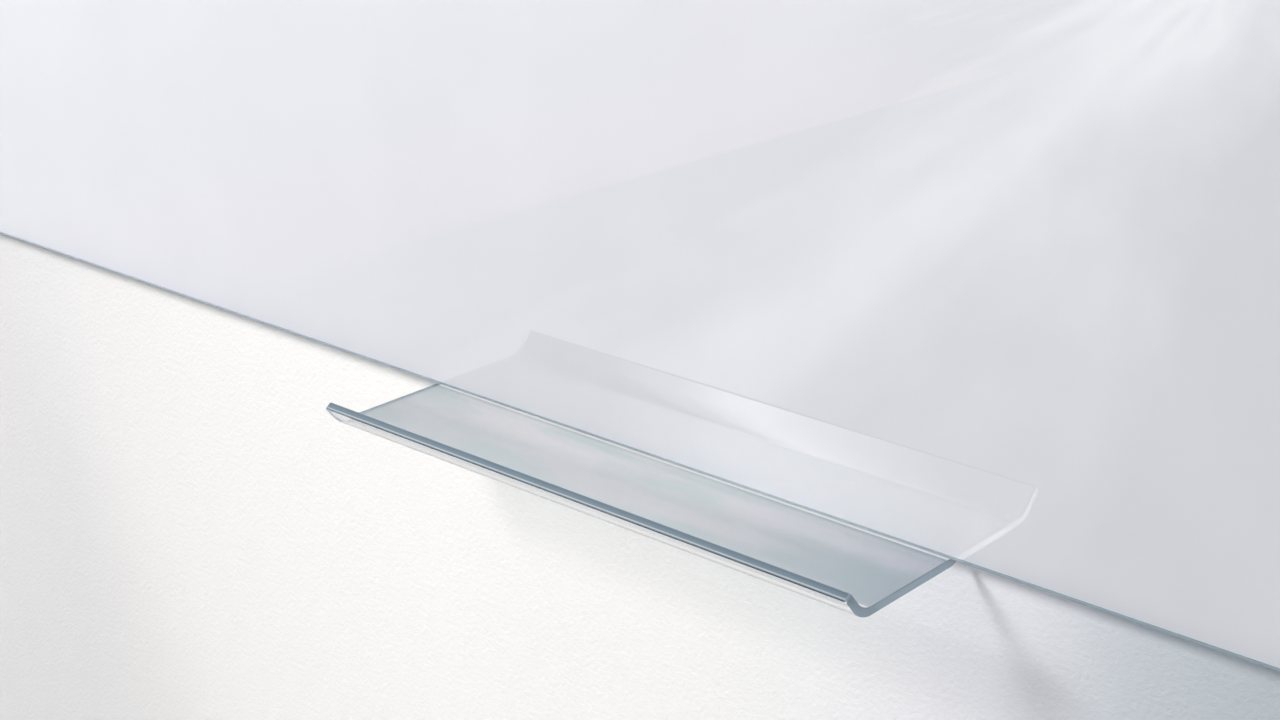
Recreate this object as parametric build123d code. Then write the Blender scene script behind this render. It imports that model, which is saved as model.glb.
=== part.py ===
from build123d import *
from math import cos, isclose, radians, sin, tan
import os

# Frameless glass whiteboard. A pane of toughened glass, enamelled white behind and backed with a
# sheet of steel, hangs a finger's width off the wall on folded steel rails that hook together.
# A clear tray, bent from one strip, grips the steel behind the glass by magnets and carries pens.
# Millimetres. X runs along the board, Y goes into the wall and Z is up.
# The origin is the middle of the pattern of wall holes, on the face of the wall.

# Pane, seen from the front
board_width = 1260.0
board_height = 710.0
board_corner_radius = 12.0

# Layers of the pane, from the front to the back
glass_thickness = 4.0
glass_arris = 0.5
enamel_thickness = 0.15
adhesive_thickness = 0.15
steel_thickness = 0.7
steel_edge_margin = 4.0

# Rails, folded from steel strip: two stay on the wall and two are taped to the pane
rail_gauge = 1.5
rail_bend_radius = 0.5
rail_corner_radius = 3.0
rail_side_inset = 180.0
wall_flange_height = 24.0
wall_tongue_height = 10.0
board_flange_height = 30.0
tongue_wall_clearance = 0.8
tongue_foot_clearance = 1.6
hook_clearance = 0.25
bottom_rail_play = 1.0
bond_tape_thickness = 0.5
bond_tape_margin = 2.0

# Soft channels that keep the hooked rails from rattling
liner_wall = 0.6
liner_foot_gap = 2.0
liner_edge_radius = 0.3

# Holes in the wall rails: a slot near each end and a round hole in the middle
hole_end_inset = 50.0
hole_edge_inset = 85.0
hole_radius = 2.75
slot_length = 12.0

# Moulded stops clipped over the ends of the top wall rail
stop_length = 11.0
stop_side_gap = 1.0
stop_rise = 4.0
stop_foot_gap = 1.0
stop_grip_clearance = 0.05
stop_steel_clearance = 0.5
stop_edge_radius = 1.0

# Rubber bumpers near the pane's corners
bumper_base_radius = 10.0
bumper_tip_radius = 8.5
bumper_rim_chamfer = 1.2
bumper_edge_inset = 30.0

# Pen tray, line-bent from one strip of clear acrylic sheet
tray_length = 300.0
tray_thickness = 4.0
tray_floor_drop = 1.0
tray_floor_depth = 58.0
tray_lip_length = 14.0
tray_lip_angle = 50.0
tray_lip_bend_radius = 12.0
tray_rear_bend_radius = 3.0
tray_leg_height = 35.0
tray_leg_corner_radius = 8.0
tray_lip_corner_radius = 1.0
tray_edge_arris = 0.3

# Magnets let into the tray's leg, and the soft discs that cover them
magnet_radius = 10.0
magnet_thickness = 2.0
magnet_arris = 0.3
magnet_pocket_clearance = 0.1
magnet_end_inset = 40.0
magnet_top_inset = 16.0
slip_pad_thickness = 0.5
slip_pad_overlap = 1.5

# How far every cut runs past the solid it cuts
overrun = 1.0

# Distances off the wall, worked out through the stack of hooked rails
board_tongue_back = tongue_wall_clearance
board_tongue_front = board_tongue_back + rail_gauge
wall_tongue_back = board_tongue_front + hook_clearance + liner_wall
wall_tongue_front = wall_tongue_back + rail_gauge
wall_tongue_middle = (wall_tongue_back + wall_tongue_front) / 2
board_flange_back = wall_tongue_front + liner_wall + hook_clearance
board_flange_front = board_flange_back + rail_gauge
steel_back = board_flange_front + bond_tape_thickness
steel_front = steel_back + steel_thickness
adhesive_front = steel_front + adhesive_thickness
enamel_front = adhesive_front + enamel_thickness
glass_front = enamel_front + glass_thickness
tray_leg_front = steel_back - slip_pad_thickness

# Heights
board_bottom = -board_height / 2
top_hole_line = board_height / 2 - hole_edge_inset
bottom_hole_line = -top_hole_line
web_above_holes = wall_flange_height / 2
tongue_above_holes = web_above_holes + wall_tongue_height
hook_above_holes = tongue_above_holes + liner_wall
top_hook_height = top_hole_line + hook_above_holes
bottom_hook_height = bottom_hole_line + hook_above_holes + bottom_rail_play
magnet_height = board_bottom + tray_leg_height - magnet_top_inset

# Lengths and places along the board
wall_rail_length = board_width - 2 * rail_side_inset
board_rail_length = wall_rail_length - 2 * (stop_length + stop_side_gap)
end_hole_place = wall_rail_length / 2 - hole_end_inset
end_magnet_place = tray_length / 2 - magnet_end_inset


def facing_room(distance):
    """An upright plane this far off the wall, which faces the room."""
    return Plane(origin=(0, -distance, 0), x_dir=(1, 0, 0), z_dir=(0, -1, 0))


def slab(outline, back, front):
    """An outline drawn as seen from the room, made solid between two distances off the wall."""
    return extrude(facing_room(back) * outline, amount=front - back)


def folded_strip(corners, bend_radii, gauge, length):
    """Sheet folded at corners, given at mid thickness by their distance off the wall and height."""
    path = FilletPolyline(*[(-distance, height) for distance, height in corners], radius=bend_radii)
    section = Plane.YZ * trace(path, line_width=gauge)
    return extrude(section, amount=length / 2, both=True)


def cut_corners(strip, gauge):
    """The short edges at the corners of a strip's cut ends, the furthest from the wall first."""
    return strip.edges().filter_by(lambda edge: isclose(edge.length, gauge)).sort_by(Axis.Y)


def glass_panel():
    """Toughened float glass, its edges ground flat between two arrises."""
    pane = slab(RectangleRounded(board_width, board_height, board_corner_radius), enamel_front, glass_front)
    return chamfer(pane.faces().filter_by(Axis.Y).edges(), glass_arris)


def inset_layer(margin, back, front):
    """A layer of the pane that stops this far inside the glass all round."""
    inset = 2 * margin
    outline = RectangleRounded(board_width - inset, board_height - inset, board_corner_radius - margin)
    return slab(outline, back, front)


def wall_rail(hole_line):
    """A rail screwed to the wall: flange, web, and a tongue that stands up clear of the wall."""
    flange_middle = rail_gauge / 2
    web_middle = hole_line + web_above_holes - rail_gauge / 2
    corners = [
        (flange_middle, hole_line - wall_flange_height / 2),
        (flange_middle, web_middle),
        (wall_tongue_middle, web_middle),
        (wall_tongue_middle, hole_line + tongue_above_holes),
    ]
    rail = folded_strip(corners, rail_bend_radius + rail_gauge / 2, rail_gauge, wall_rail_length)
    rail = fillet(cut_corners(rail, rail_gauge), rail_corner_radius)
    for place, hole in (
        (-end_hole_place, SlotOverall(slot_length, 2 * hole_radius)),
        (0, Circle(hole_radius)),
        (end_hole_place, SlotOverall(slot_length, 2 * hole_radius)),
    ):
        rail -= slab(Pos(place, hole_line) * hole, -overrun, rail_gauge + overrun)
    return rail


def rail_liner(hole_line):
    """A soft channel pushed down over a wall rail's tongue."""
    foot = hole_line + web_above_holes + liner_foot_gap
    tongue_top = hole_line + tongue_above_holes
    top = tongue_top + liner_wall
    outer = Pos(-wall_tongue_middle, (foot + top) / 2) * Rectangle(rail_gauge + 2 * liner_wall, top - foot)
    outer = fillet(outer.vertices().group_by(Axis.Y)[-1], liner_edge_radius)
    hollow_foot = foot - overrun
    hollow = Rectangle(rail_gauge, tongue_top - hollow_foot)
    hollow = Pos(-wall_tongue_middle, (hollow_foot + tongue_top) / 2) * hollow
    return extrude(Plane.YZ * (outer - hollow), amount=board_rail_length / 2, both=True)


def rail_end_stop(side):
    """A moulded stop that grips one end of the top wall rail's tongue."""
    foot = top_hole_line + web_above_holes + stop_foot_gap
    tongue_top = top_hole_line + tongue_above_holes
    top = tongue_top + stop_rise
    back = tongue_wall_clearance
    front = steel_back - stop_steel_clearance
    block = Pos(-(back + front) / 2, (foot + top) / 2) * Rectangle(front - back, top - foot)
    block = fillet(block.vertices(), stop_edge_radius)
    grip_foot = foot - overrun
    grip = Rectangle(rail_gauge + 2 * stop_grip_clearance, tongue_top - grip_foot)
    grip = Pos(-wall_tongue_middle, (grip_foot + tongue_top) / 2) * grip
    stop = extrude(Plane.YZ * (block - grip), amount=stop_length / 2, both=True)
    return Pos(side * (wall_rail_length - stop_length) / 2, 0, 0) * stop


def board_rail(hook_height):
    """A rail taped to the pane's back: flange, web, and a tongue that hooks down behind the wall's."""
    flange_middle = (board_flange_back + board_flange_front) / 2
    tongue_middle = (board_tongue_back + board_tongue_front) / 2
    web_middle = hook_height + rail_gauge / 2
    tongue_drop = hook_above_holes - web_above_holes - tongue_foot_clearance
    corners = [
        (flange_middle, hook_height + rail_gauge - board_flange_height),
        (flange_middle, web_middle),
        (tongue_middle, web_middle),
        (tongue_middle, hook_height - tongue_drop),
    ]
    rail = folded_strip(corners, rail_bend_radius + rail_gauge / 2, rail_gauge, board_rail_length)
    return fillet(cut_corners(rail, rail_gauge), rail_corner_radius)


def bond_tape(hook_height):
    """The foam tape between a board rail's flange and the steel."""
    middle = hook_height + rail_gauge - board_flange_height / 2
    outline = Rectangle(board_rail_length - 2 * bond_tape_margin, board_flange_height - 2 * bond_tape_margin)
    return slab(Pos(0, middle) * outline, board_flange_front, steel_back)


def wall_bumper(across, up):
    """A tapered rubber foot between the steel and the wall, near one corner of the pane."""
    from_wall = (Align.CENTER, Align.CENTER, Align.MIN)
    body = facing_room(0) * Cone(bumper_tip_radius, bumper_base_radius, steel_back, align=from_wall)
    body = chamfer(body.edges().group_by(Axis.Y)[-1], bumper_rim_chamfer)
    x = across * (board_width / 2 - bumper_edge_inset)
    z = up * (board_height / 2 - bumper_edge_inset)
    return Pos(x, 0, z) * body


def pen_tray():
    """One strip of clear sheet: a leg behind the pane, a floor under its edge, a lip that leans out."""
    half_thickness = tray_thickness / 2
    lean = radians(tray_lip_angle)
    leg_middle = tray_leg_front - half_thickness
    floor_middle = board_bottom - tray_floor_drop - half_thickness
    middle_shift = half_thickness * tan(lean / 2)
    lip_foot = glass_front + tray_floor_depth + middle_shift
    lip_run = tray_lip_length + middle_shift
    corners = [
        (leg_middle, board_bottom + tray_leg_height),
        (leg_middle, floor_middle),
        (lip_foot, floor_middle),
        (lip_foot + lip_run * cos(lean), floor_middle + lip_run * sin(lean)),
    ]
    bends = (tray_rear_bend_radius + half_thickness, tray_lip_bend_radius + half_thickness)
    tray = folded_strip(corners, bends, tray_thickness, tray_length)
    tray = fillet(cut_corners(tray, tray_thickness)[:2], tray_lip_corner_radius)
    tray = fillet(cut_corners(tray, tray_thickness)[-2:], tray_leg_corner_radius)
    seams = (tray_thickness, tray_length)
    outline = tray.edges().filter_by(lambda edge: not any(isclose(edge.length, seam) for seam in seams))
    tray = chamfer(outline, tray_edge_arris)
    pocket = Circle(magnet_radius + magnet_pocket_clearance)
    for place in magnet_places.values():
        tray -= slab(Pos(*place) * pocket, tray_leg_front - magnet_thickness, tray_leg_front + overrun)
    return tray


def tray_magnet(place):
    """A nickel-plated disc that fills its pocket flush with the leg."""
    disc = slab(Pos(*place) * Circle(magnet_radius), tray_leg_front - magnet_thickness, tray_leg_front)
    return chamfer(disc.edges().filter_by(GeomType.CIRCLE), magnet_arris)


def tray_slip_pad(place):
    """A soft disc over a magnet, which runs on the steel."""
    return slab(Pos(*place) * Circle(magnet_radius + slip_pad_overlap), tray_leg_front, steel_back)


magnet_places = {
    "left": (-end_magnet_place, magnet_height),
    "middle": (0, magnet_height),
    "right": (end_magnet_place, magnet_height),
}

pieces = {
    "top_wall_rail": wall_rail(top_hole_line),
    "bottom_wall_rail": wall_rail(bottom_hole_line),
    "top_rail_liner": rail_liner(top_hole_line),
    "bottom_rail_liner": rail_liner(bottom_hole_line),
    "rail_end_stop_left": rail_end_stop(-1),
    "rail_end_stop_right": rail_end_stop(1),
    "glass_panel": glass_panel(),
    "white_enamel": inset_layer(glass_arris, adhesive_front, enamel_front),
    "laminating_adhesive": inset_layer(steel_edge_margin, steel_front, adhesive_front),
    "steel_backing_sheet": inset_layer(steel_edge_margin, steel_back, steel_front),
    "top_board_rail": board_rail(top_hook_height),
    "bottom_board_rail": board_rail(bottom_hook_height),
    "top_rail_bond_tape": bond_tape(top_hook_height),
    "bottom_rail_bond_tape": bond_tape(bottom_hook_height),
    "pen_tray": pen_tray(),
}
for row, up in (("top", 1), ("bottom", -1)):
    for side, across in (("left", -1), ("right", 1)):
        pieces[f"wall_bumper_{row}_{side}"] = wall_bumper(across, up)
for side, place in magnet_places.items():
    pieces[f"tray_magnet_{side}"] = tray_magnet(place)
    pieces[f"tray_slip_pad_{side}"] = tray_slip_pad(place)

os.makedirs("parts", exist_ok=True)
for node, solid in pieces.items():
    export_step(solid, f"parts/{node}.step")
    print(f"{node}: {solid.volume:.1f} mm3")
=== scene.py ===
# %% [markdown]
# # A glass whiteboard with a clear pen tray
#
# The real thing is a pane of toughened glass with white enamel baked on its back, hung close to
# a wall on folded steel rails. A tray bent from one strip of clear acrylic grips the steel behind
# the glass with magnets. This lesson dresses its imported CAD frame: it keeps the CAD pieces whose
# shape is right, builds finer meshes for those where light runs along edges and bends, and gives
# every surface a finish that is made of nodes.

# %% Load the frame
import bmesh
import bpy
from math import atan2, cos, degrees, pi, radians, sin, sqrt, tan
from mathutils import Matrix, Vector


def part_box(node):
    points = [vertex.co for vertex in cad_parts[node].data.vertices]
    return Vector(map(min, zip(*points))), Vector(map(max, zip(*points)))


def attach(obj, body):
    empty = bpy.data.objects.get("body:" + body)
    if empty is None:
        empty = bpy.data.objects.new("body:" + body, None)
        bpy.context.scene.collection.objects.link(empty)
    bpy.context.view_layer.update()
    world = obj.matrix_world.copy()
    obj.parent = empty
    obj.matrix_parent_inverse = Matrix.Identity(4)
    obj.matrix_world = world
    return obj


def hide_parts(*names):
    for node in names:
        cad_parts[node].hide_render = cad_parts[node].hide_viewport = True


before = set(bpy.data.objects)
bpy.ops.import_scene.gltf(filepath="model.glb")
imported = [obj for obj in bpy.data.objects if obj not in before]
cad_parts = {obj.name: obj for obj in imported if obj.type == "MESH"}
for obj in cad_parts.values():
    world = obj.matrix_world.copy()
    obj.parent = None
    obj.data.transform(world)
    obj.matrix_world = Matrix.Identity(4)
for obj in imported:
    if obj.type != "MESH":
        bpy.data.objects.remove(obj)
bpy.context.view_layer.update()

# %% [markdown]
# ## Camera
#
# A photographer stood to the right of the tray and looked down along it, so the pane fills the
# upper half of the picture and the wall shows below. Lens, place and turns are written as plain
# numbers, so that the view can be set up again on a real camera with a 36 mm wide sensor.

# %% Camera
SENSOR_WIDTH = 36.0
LENS = 58.38
CAMERA_PLACE = (0.5552, -0.6641, 0.0137)
CAMERA_TURN = 41.2
CAMERA_TILT = 20.5

camera_data = bpy.data.cameras.new("camera")
camera_data.sensor_width = SENSOR_WIDTH
camera_data.lens = LENS
camera = bpy.data.objects.new("camera", camera_data)
camera.location = CAMERA_PLACE
camera.rotation_euler = (radians(90 - CAMERA_TILT), 0, radians(CAMERA_TURN))
bpy.context.scene.collection.objects.link(camera)
bpy.context.scene.camera = camera
print("camera looks down", CAMERA_TILT, "degrees through a", LENS, "mm lens")

# %% [markdown]
# ## Helpers for finishes
#
# Paint charts give colours as sRGB hex values, but Cycles counts light, so one function turns
# them to linear values. Another adds a node of any kind: it sets options, fills inputs with
# values or links, and places the stops of a colour ramp. Where an input is given a whole node,
# that node's first output is linked.


# %% Colour and node helpers
def linear(hex_colour):
    """An sRGB hex colour as linear red, green and blue, with an alpha of one."""
    shares = [int(hex_colour[place:place + 2], 16) / 255 for place in (1, 3, 5)]
    light = [share / 12.92 if share <= 0.04045 else ((share + 0.055) / 1.055) ** 2.4 for share in shares]
    return (*light, 1.0)


def add(tree, kind, inputs=None, stops=None, **options):
    """A new node of this kind, with its inputs by name or number, ramp stops and options."""
    node = tree.nodes.new("ShaderNode" + kind)
    for option, value in options.items():
        setattr(node, option, value)
    for name, value in (inputs or {}).items():
        if isinstance(value, bpy.types.Node):
            value = value.outputs[0]
        if isinstance(value, bpy.types.NodeSocket):
            tree.links.new(value, node.inputs[name])
        else:
            node.inputs[name].default_value = value
    if stops:
        elements = node.color_ramp.elements
        elements.remove(elements[-1])
        elements[0].position, elements[0].color = stops[0][0], linear(stops[0][1])
        for position, colour in stops[1:]:
            elements.new(position).color = linear(colour)
    return node


def start_finish(name):
    """An empty material, its node tree and the place on the piece, in metres."""
    material = bpy.data.materials.new(name)
    material.use_nodes = True
    material.node_tree.nodes.clear()
    return material, material.node_tree, add(material.node_tree, "TexCoord").outputs["Object"]


def show(tree, surface):
    """Ends a material with its output node."""
    add(tree, "OutputMaterial", {"Surface": surface})


print("a mid grey of #808080 is", round(linear("#808080")[0], 3), "in linear light")

# %% [markdown]
# ## Light that passes through clear pieces
#
# Cycles bends light in glass, so a lamp's shadow ray stops there and what lies behind would be
# black or noisy. On the real board the lamps light the enamel through the glass. The usual answer
# is a Light Path node: for shadow rays, and for the soft bounces that look for light, the glass
# gives way to a Transparent shader with the tint that one face of it would give.


# %% Glass that lamps shine through
def let_lamps_through(tree, glass, tint):
    """The glass for what is seen, and a plain tinted film for lamp rays and soft bounces."""
    path = add(tree, "LightPath")
    lamp_or_bounce = add(tree, "Math", {0: path.outputs["Is Shadow Ray"], 1: path.outputs["Is Diffuse Ray"]},
                         operation="MAXIMUM")
    film = add(tree, "BsdfTransparent", {"Color": linear(tint)})
    return add(tree, "MixShader", {0: lamp_or_bounce, 1: glass, 2: film})


# %% [markdown]
# ## Float glass, toughened
#
# Float glass is cast on molten tin, so both faces are flat and fire-bright. Toughening rolls the
# hot pane over ceramic rollers, which leaves a wave a few hundredths of a millimetre high and about
# 250 mm long: it shows only as a slow sway in mirror images. IOR 1.52 is that of soda-lime glass.
# The pane looks faintly blue-white and not green, so it is a low-iron kind.

# %% Float glass
GLASS_IOR = 1.52
ROLLER_WAVE_LENGTH = 0.25
ROLLER_WAVE_HEIGHT = 0.00002

float_glass, tree, place = start_finish("low_iron_float_glass")
along_rollers = add(tree, "Mapping", {"Vector": place, "Scale": (0.15, 1, 1)})
roller_wave = add(tree, "TexNoise", {"Vector": along_rollers, "Scale": 1 / ROLLER_WAVE_LENGTH,
                                     "Detail": 0.0})
sway = add(tree, "Bump", {"Height": roller_wave, "Distance": ROLLER_WAVE_HEIGHT})
glass = add(tree, "BsdfPrincipled", {"Base Color": linear("#FBFCFD"), "Roughness": 0.0, "IOR": GLASS_IOR,
                                     "Transmission Weight": 1.0, "Normal": sway})
show(tree, let_lamps_through(tree, glass, "#F8FAFB"))
print("roller wave:", ROLLER_WAVE_LENGTH * 1000, "mm long")

# %% [markdown]
# ## Ground edge of the glass
#
# The rim is ground on a diamond belt before toughening. It is finely matt, and it looks dark
# slate, because the light that reaches it has run a long way through the pane. Fine scratches run
# with the belt, here drawn a tenth of a millimetre apart, coarser than the real grit of 0.04 mm,
# so that they can show at all.

# %% Ground glass edge
GRIND_SPACING = 0.0001
GRIND_DEPTH = 0.00001

ground_edge, tree, place = start_finish("ground_glass_edge")
with_belt = add(tree, "Mapping", {"Vector": place, "Scale": (0.05, 1, 0.05)})
scratches = add(tree, "TexNoise", {"Vector": with_belt, "Scale": 1 / GRIND_SPACING, "Detail": 2.0})
slate = add(tree, "ValToRGB", {"Fac": scratches}, stops=[(0.3, "#7A8A94"), (0.7, "#9CACB7")])
relief = add(tree, "Bump", {"Height": scratches, "Distance": GRIND_DEPTH})
show(tree, add(tree, "BsdfPrincipled", {"Base Color": slate, "Roughness": 0.42, "IOR": GLASS_IOR,
                                        "Normal": relief}))
print("grind scratches:", GRIND_SPACING * 1000, "mm apart")

# %% [markdown]
# ## Enamel
#
# The white is a ceramic frit, screen-printed on the back of the glass and fired into it. Its coat
# is even, with a very faint cloudiness where the print was thicker, some 60 mm across. Fired on,
# it touches the glass without any air between, so the face that is seen through the pane has no
# shine of its own, while its bare back is satin like an eggshell.

# %% White enamel
ENAMEL_CLOUD = 0.06


def enamel_finish(name, shine):
    """White enamel. The shine is the specular level: none where it is fused to the glass."""
    material, tree, place = start_finish(name)
    cloud = add(tree, "TexNoise", {"Vector": place, "Scale": 1 / ENAMEL_CLOUD, "Detail": 3.0})
    coat = add(tree, "ValToRGB", {"Fac": cloud}, stops=[(0.3, "#E0DFE4"), (0.7, "#E3E2E7")])
    show(tree, add(tree, "BsdfPrincipled", {"Base Color": coat, "Roughness": 0.4,
                                            "Specular IOR Level": shine}))
    return material


fused_enamel = enamel_finish("enamel_fused_to_glass", 0.0)
bare_enamel = enamel_finish("bare_back_of_enamel", 0.5)
print("enamel clouds:", ENAMEL_CLOUD * 1000, "mm across")

# %% [markdown]
# ## Clear acrylic
#
# The tray is cut from clear PMMA sheet, warmed along two lines and bent over a former. Its faces
# keep the gloss of the sheet, IOR 1.49, with a ripple that is too low to feel. Through 4 mm the
# acrylic looks colourless. One mesh can't mix a volume tint with faces of several finishes, since
# light has to leave a volume by the finish through which it came in, so the slate tint that the
# real sheet shows along its length is left to its cut edges.

# %% Clear acrylic
ACRYLIC_IOR = 1.49
RIPPLE_LENGTH = 0.02
RIPPLE_HEIGHT = 0.00001

acrylic, tree, place = start_finish("clear_acrylic_sheet")
ripple = add(tree, "TexNoise", {"Vector": place, "Scale": 1 / RIPPLE_LENGTH, "Detail": 1.0})
relief = add(tree, "Bump", {"Height": ripple, "Distance": RIPPLE_HEIGHT})
sheet = add(tree, "BsdfPrincipled", {"Base Color": linear("#FCFDFD"), "Roughness": 0.0, "IOR": ACRYLIC_IOR,
                                     "Transmission Weight": 1.0, "Normal": relief})
show(tree, let_lamps_through(tree, sheet, "#FAFCFC"))
print("ripple:", RIPPLE_LENGTH * 1000, "mm long")

# %% [markdown]
# ## Satin underside of the floor
#
# The wall's grain can't be made out through the floor, and the floor looks greyer than the lip, so
# its underside is taken as etched satin. Acid leaves a fine, even roughness there, which blurs
# what lies behind; part of the floor's grey is painted shade of the wall seen through it. Soft
# streaks, 40 mm long and turned 35 degrees, vary the roughness, and their colour, from a lilac grey
# to a faint teal, is painted light, like the soft patterns of light bent through the sheet. A second
# ramp is painted shade that deepens the grey towards the tray's ends, and a third is painted light
# that leaves the grey clear beside the pane and towards the lip, and greyer between.

# %% Satin acrylic
SATIN_STREAK = 0.04
STREAK_TURN = radians(35)
TRAY_REACH = 0.15
BESIDE_PANE, BESIDE_LIP = -0.013, -0.071

satin_acrylic, tree, place = start_finish("satin_etched_acrylic")
turned = add(tree, "Mapping", {"Vector": place, "Rotation": (0, 0, STREAK_TURN), "Scale": (0.5, 1.6, 1)})
streaks = add(tree, "TexNoise", {"Vector": turned, "Scale": 1 / SATIN_STREAK, "Detail": 2.0})
# Painted light: the streaks' colour, from lilac grey to faint teal, with painted shade in the grey.
tone = add(tree, "ValToRGB", {"Fac": streaks}, stops=[(0.40, "#BCD0D6"), (0.60, "#E1E0EB")])
spot = add(tree, "SeparateXYZ", {"Vector": place})
along = add(tree, "MapRange", {"Value": spot.outputs["X"], "From Min": -TRAY_REACH, "From Max": TRAY_REACH})
# Painted shade: the floor's grey deepens towards the tray's ends.
painted_shade_at_ends = add(tree, "ValToRGB", {"Fac": along},
             stops=[(0.0, "#DCDFE1"), (0.25, "#F2F3F4"), (0.60, "#F2F3F6"), (1.0, "#B0B8C0")])
outwards = add(tree, "MapRange", {"Value": spot.outputs["Y"], "From Min": BESIDE_PANE,
                                  "From Max": BESIDE_LIP})
# Painted light: clear beside the pane and towards the lip, a little greyer between.
painted_light_beside_pane = add(tree, "ValToRGB", {"Fac": outwards},
              stops=[(0.0, "#FFFFFF"), (0.22, "#FFFFFF"), (0.42, "#DFE3E4"), (0.70, "#E8EBEC"),
                     (1.0, "#FAFBFD")])
both = add(tree, "Mix", {0: 1.0, 6: tone, 7: painted_shade_at_ends}, data_type="RGBA", blend_type="MULTIPLY")
all_three = add(tree, "Mix", {0: 1.0, 6: both.outputs[2], 7: painted_light_beside_pane},
                data_type="RGBA", blend_type="MULTIPLY")
etch = add(tree, "MapRange", {"Value": streaks, "To Min": 0.16, "To Max": 0.22})
satin = add(tree, "BsdfPrincipled", {"Base Color": all_three.outputs[2], "Roughness": etch,
                                     "IOR": ACRYLIC_IOR, "Transmission Weight": 1.0})
show(tree, let_lamps_through(tree, satin, "#F6F8F9"))
print("satin streaks:", SATIN_STREAK * 1000, "mm long")

# %% [markdown]
# ## Cut edge of the acrylic
#
# A sawn and scraped edge isn't seen through: light from the whole sheet ends there and leaves it
# in all directions, so it looks an even slate blue. Half of the finish is a satin skin that the
# lamps light from outside, and half is a Translucent shader, which shows the light that comes
# through the sheet from behind. Saw marks cross the edge every 0.7 mm.

# %% Cut acrylic edge
SAW_MARK_SPACING = 0.0007
SAW_MARK_DEPTH = 0.00001
GLOW_FROM_INSIDE = 0.5

acrylic_edge, tree, place = start_finish("cut_acrylic_edge")
saw_marks = add(tree, "TexNoise", {"Vector": place, "Scale": 1 / SAW_MARK_SPACING, "Detail": 1.0})
slate = add(tree, "ValToRGB", {"Fac": saw_marks}, stops=[(0.3, "#9BABB7"), (0.7, "#A5B4BF")])
relief = add(tree, "Bump", {"Height": saw_marks, "Distance": SAW_MARK_DEPTH})
skin = add(tree, "BsdfPrincipled", {"Base Color": slate, "Roughness": 0.25, "IOR": ACRYLIC_IOR,
                                    "Normal": relief})
glow = add(tree, "BsdfTranslucent", {"Color": slate, "Normal": relief})
show(tree, add(tree, "MixShader", {0: GLOW_FROM_INSIDE, 1: skin, 2: glow}))
print("saw marks:", SAW_MARK_SPACING * 1000, "mm apart")

# %% [markdown]
# ## Tip of the lip
#
# The tip is the edge that the eye meets first. It isn't one flat tone: it is darkest along the inner
# face and clears a little on the way out, and near the outer face it carries a painted highlight, a
# light line, with a painted dark line beyond it. Here the ramp is read across the thickness of the
# sheet, which is the place's share along the direction square to the lip. The narrow arris at its
# inner face was scraped smoother, so it is shinier than the saw cut.

# %% Cut tip
TRAY_THICKNESS = 0.004
LIP_ANGLE = radians(50.0)
ACROSS_LIP = Vector((0, sin(LIP_ANGLE), cos(LIP_ANGLE)))


def cut_tip_finish(middle_of_tip):
    """The cut edge with its tones laid across the sheet, from its inner to its outer face."""
    material, tree, place = start_finish("cut_acrylic_tip")
    height = add(tree, "VectorMath", {0: place, 1: ACROSS_LIP}, operation="DOT_PRODUCT").outputs["Value"]
    middle = middle_of_tip.dot(ACROSS_LIP)
    share = add(tree, "MapRange", {"Value": height, "From Min": middle + TRAY_THICKNESS / 2,
                                   "From Max": middle - TRAY_THICKNESS / 2})
    # Near the outer face, #CBD4D9 is a painted highlight and #82909B beyond it a painted dark line.
    tone = add(tree, "ValToRGB", {"Fac": share},
               stops=[(0.0, "#7E909E"), (0.15, "#758896"), (0.60, "#8999A6"), (0.66, "#8E9DA9"),
                      (0.70, "#CBD4D9"), (0.78, "#CBD4D9"), (0.82, "#82909B"), (1.0, "#8997A1")])
    marks = add(tree, "TexNoise", {"Vector": place, "Scale": 1 / SAW_MARK_SPACING, "Detail": 1.0})
    relief = add(tree, "Bump", {"Height": marks, "Distance": SAW_MARK_DEPTH})
    matt = add(tree, "MapRange", {"Value": marks, "To Min": 0.22, "To Max": 0.30})
    skin = add(tree, "BsdfPrincipled", {"Base Color": tone, "Roughness": matt, "IOR": ACRYLIC_IOR,
                                        "Normal": relief})
    glow = add(tree, "BsdfTranslucent", {"Color": tone, "Normal": relief})
    show(tree, add(tree, "MixShader", {0: GLOW_FROM_INSIDE, 1: skin, 2: glow}))
    return material


scraped_arris, tree, place = start_finish("scraped_acrylic_arris")
scrapes = add(tree, "TexNoise", {"Vector": place, "Scale": 1 / SAW_MARK_SPACING, "Detail": 1.0})
slate = add(tree, "ValToRGB", {"Fac": scrapes}, stops=[(0.3, "#8496A3"), (0.7, "#94A4B0")])
shine = add(tree, "MapRange", {"Value": scrapes, "To Min": 0.10, "To Max": 0.14})
show(tree, add(tree, "BsdfPrincipled", {"Base Color": slate, "Roughness": shine, "IOR": ACRYLIC_IOR}))
print("the tip's tones run across", TRAY_THICKNESS * 1000, "mm of sheet")

# %% [markdown]
# ## Metals behind the pane
#
# The backing is galvanised steel: zinc crystals, about 9 mm across, each catch the light a little
# differently. The rails are folded from brushed strip with a grain along their length, and the
# magnets are nickel plated. A metal keeps the default IOR: its colour is what it mirrors, and
# roughness does the rest.

# %% Galvanised steel
SPANGLE = 0.009
ZINC_GRAINS_PER_METRE = 900.0
ZINC_RELIEF = 0.00001

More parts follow.
